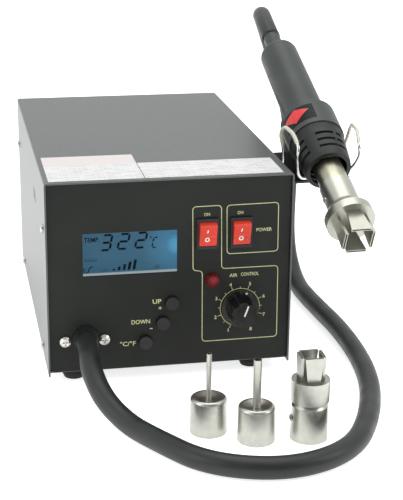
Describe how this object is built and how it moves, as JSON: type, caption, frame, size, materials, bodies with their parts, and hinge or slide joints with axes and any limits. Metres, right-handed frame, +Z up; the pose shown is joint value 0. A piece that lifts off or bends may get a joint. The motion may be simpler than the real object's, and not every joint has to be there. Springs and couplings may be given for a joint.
{
  "type": "hot air rework station",
  "caption": "Bench hot air rework station: steel case with display, switches and air knob, hose, hand piece in a wire cradle, and spare nozzles.",
  "frame": {"origin": "middle of the footprint on the table, hose left out", "axes": "+X to the right seen from the controls, +Y to the back, +Z up"},
  "size_m": [0.2602, 0.4783, 0.234],
  "materials": {
    "case_paint": "semi-gloss black powder coat",
    "panel_paint": "satin black with printed gold lines",
    "zinc_steel": "zinc plated",
    "stainless": "satin stainless",
    "rubber_black": "matte",
    "silicone_black": "satin silicone",
    "handle_plastic": "fine matte moulding",
    "gloss_black": "gloss",
    "matte_black": "matte",
    "rocker_red": "gloss translucent red",
    "lens_red": "clear red",
    "window_clear": "clear acrylic",
    "lcd_blue": "lit blue",
    "board_green": "solder mask",
    "brass": "satin",
    "aluminium": "cast",
    "copper_varnish": "varnished winding",
    "ceramic": "ceramic",
    "label_print": "printed film",
    "silicone_clear": "clear sleeving"
  },
  "bodies": {
    "case": {"top_cover": "case_paint", "base_tray": "case_paint", "front_panel": "panel_paint", "rear_panel": "case_paint", "case_screws": "zinc_steel", "gland_screws": "zinc_steel", "rubber_feet": "rubber_black", "lcd_window": "window_clear", "lcd_module": "lcd_blue", "display_board": "board_green", "board_standoffs": "brass", "key_switches": "matte_black", "power_switch_housing": "matte_black", "air_switch_housing": "matte_black", "blade_terminals": "brass", "lamp_lens": "lens_red", "lamp_led": "lens_red", "pot_body": "aluminium", "pot_nut": "zinc_steel", "hose_gland": "handle_plastic", "holder_bracket": "case_paint", "wire_cradle": "zinc_steel", "cradle_sleeves": "silicone_clear", "pump_body": "aluminium", "pump_heads": "aluminium", "pump_mounts": "rubber_black", "air_tube": "silicone_black", "transformer_core": "case_paint", "transformer_coil": "copper_varnish", "control_board": "board_green", "board_components": "aluminium", "power_inlet": "matte_black", "fuse_holder": "matte_black", "top_labels": "label_print", "air_hose": "silicone_black"},
    "hand_piece": {"handle_grip": "handle_plastic", "hose_boot": "rubber_black", "handle_collar": "handle_plastic", "vent_ring": "handle_plastic", "mica_spacers": "ceramic", "heater_pipe": "stainless", "heater_core": "ceramic", "heater_windings": "stainless"},
    "fitted_nozzle": {"nozzle_sleeve": "stainless", "nozzle_head": "stainless", "nozzle_screws": "zinc_steel"},
    "spare_fine_nozzle": {"spare_fine_cup": "stainless", "spare_fine_tube": "stainless"},
    "spare_wide_nozzle": {"spare_wide_cup": "stainless", "spare_wide_tube": "stainless"},
    "spare_quad_nozzle": {"spare_quad_sleeve": "stainless", "spare_quad_head": "stainless"},
    "air_knob": {"air_knob": "gloss_black", "pot_shaft": "zinc_steel"},
    "up_button": {"button_up": "matte_black"},
    "down_button": {"button_down": "matte_black"},
    "unit_button": {"button_unit": "matte_black"},
    "power_rocker": {"power_rocker": "rocker_red"},
    "air_rocker": {"air_rocker": "rocker_red"},
    "fuse_cap": {"fuse_cap": "matte_black"}
  },
  "joints": [
    {"name": "air_knob_turn", "type": "hinge", "parent": "case", "child": "air_knob", "pos_m": [0.02063, -0.0809, 0.052], "axis": [0, 1, 0], "range_deg": [-176, 132]},
    {"name": "power_rocker_tilt", "type": "hinge", "parent": "case", "child": "power_rocker", "pos_m": [-0.00427, -0.079, 0.11], "axis": [1, 0, 0], "range_deg": [-38, 0]},
    {"name": "air_rocker_tilt", "type": "hinge", "parent": "case", "child": "air_rocker", "pos_m": [0.02043, -0.079, 0.11], "axis": [1, 0, 0], "range_deg": [-38, 0]},
    {"name": "up_button_press", "type": "slide", "parent": "case", "child": "up_button", "axis": [0, 1, 0], "range_m": [0, 0.0012], "stiffness_N_per_m": 300, "springref_m": -0.0008},
    {"name": "down_button_press", "type": "slide", "parent": "case", "child": "down_button", "axis": [0, 1, 0], "range_m": [0, 0.0012], "stiffness_N_per_m": 300, "springref_m": -0.0008},
    {"name": "unit_button_press", "type": "slide", "parent": "case", "child": "unit_button", "axis": [0, 1, 0], "range_m": [0, 0.0012], "stiffness_N_per_m": 300, "springref_m": -0.0008},
    {"name": "hand_piece_lift", "type": "slide", "parent": "case", "child": "hand_piece", "axis": [0.0181, -0.4165, 0.9089], "range_m": [0, 0.09]},
    {"name": "nozzle_pull", "type": "slide", "parent": "hand_piece", "child": "fitted_nozzle", "axis": [0.0395, -0.9081, -0.4169], "range_m": [0, 0.03]},
    {"name": "spare_fine_lift", "type": "slide", "parent": "case", "child": "spare_fine_nozzle", "axis": [0, 0, 1], "range_m": [0, 0.06]},
    {"name": "spare_wide_lift", "type": "slide", "parent": "case", "child": "spare_wide_nozzle", "axis": [0, 0, 1], "range_m": [0, 0.06]},
    {"name": "spare_quad_lift", "type": "slide", "parent": "case", "child": "spare_quad_nozzle", "axis": [0, 0, 1], "range_m": [0, 0.06]},
    {"name": "fuse_cap_pull", "type": "slide", "parent": "case", "child": "fuse_cap", "axis": [0, 1, 0], "range_m": [0, 0.02]}
  ]
}
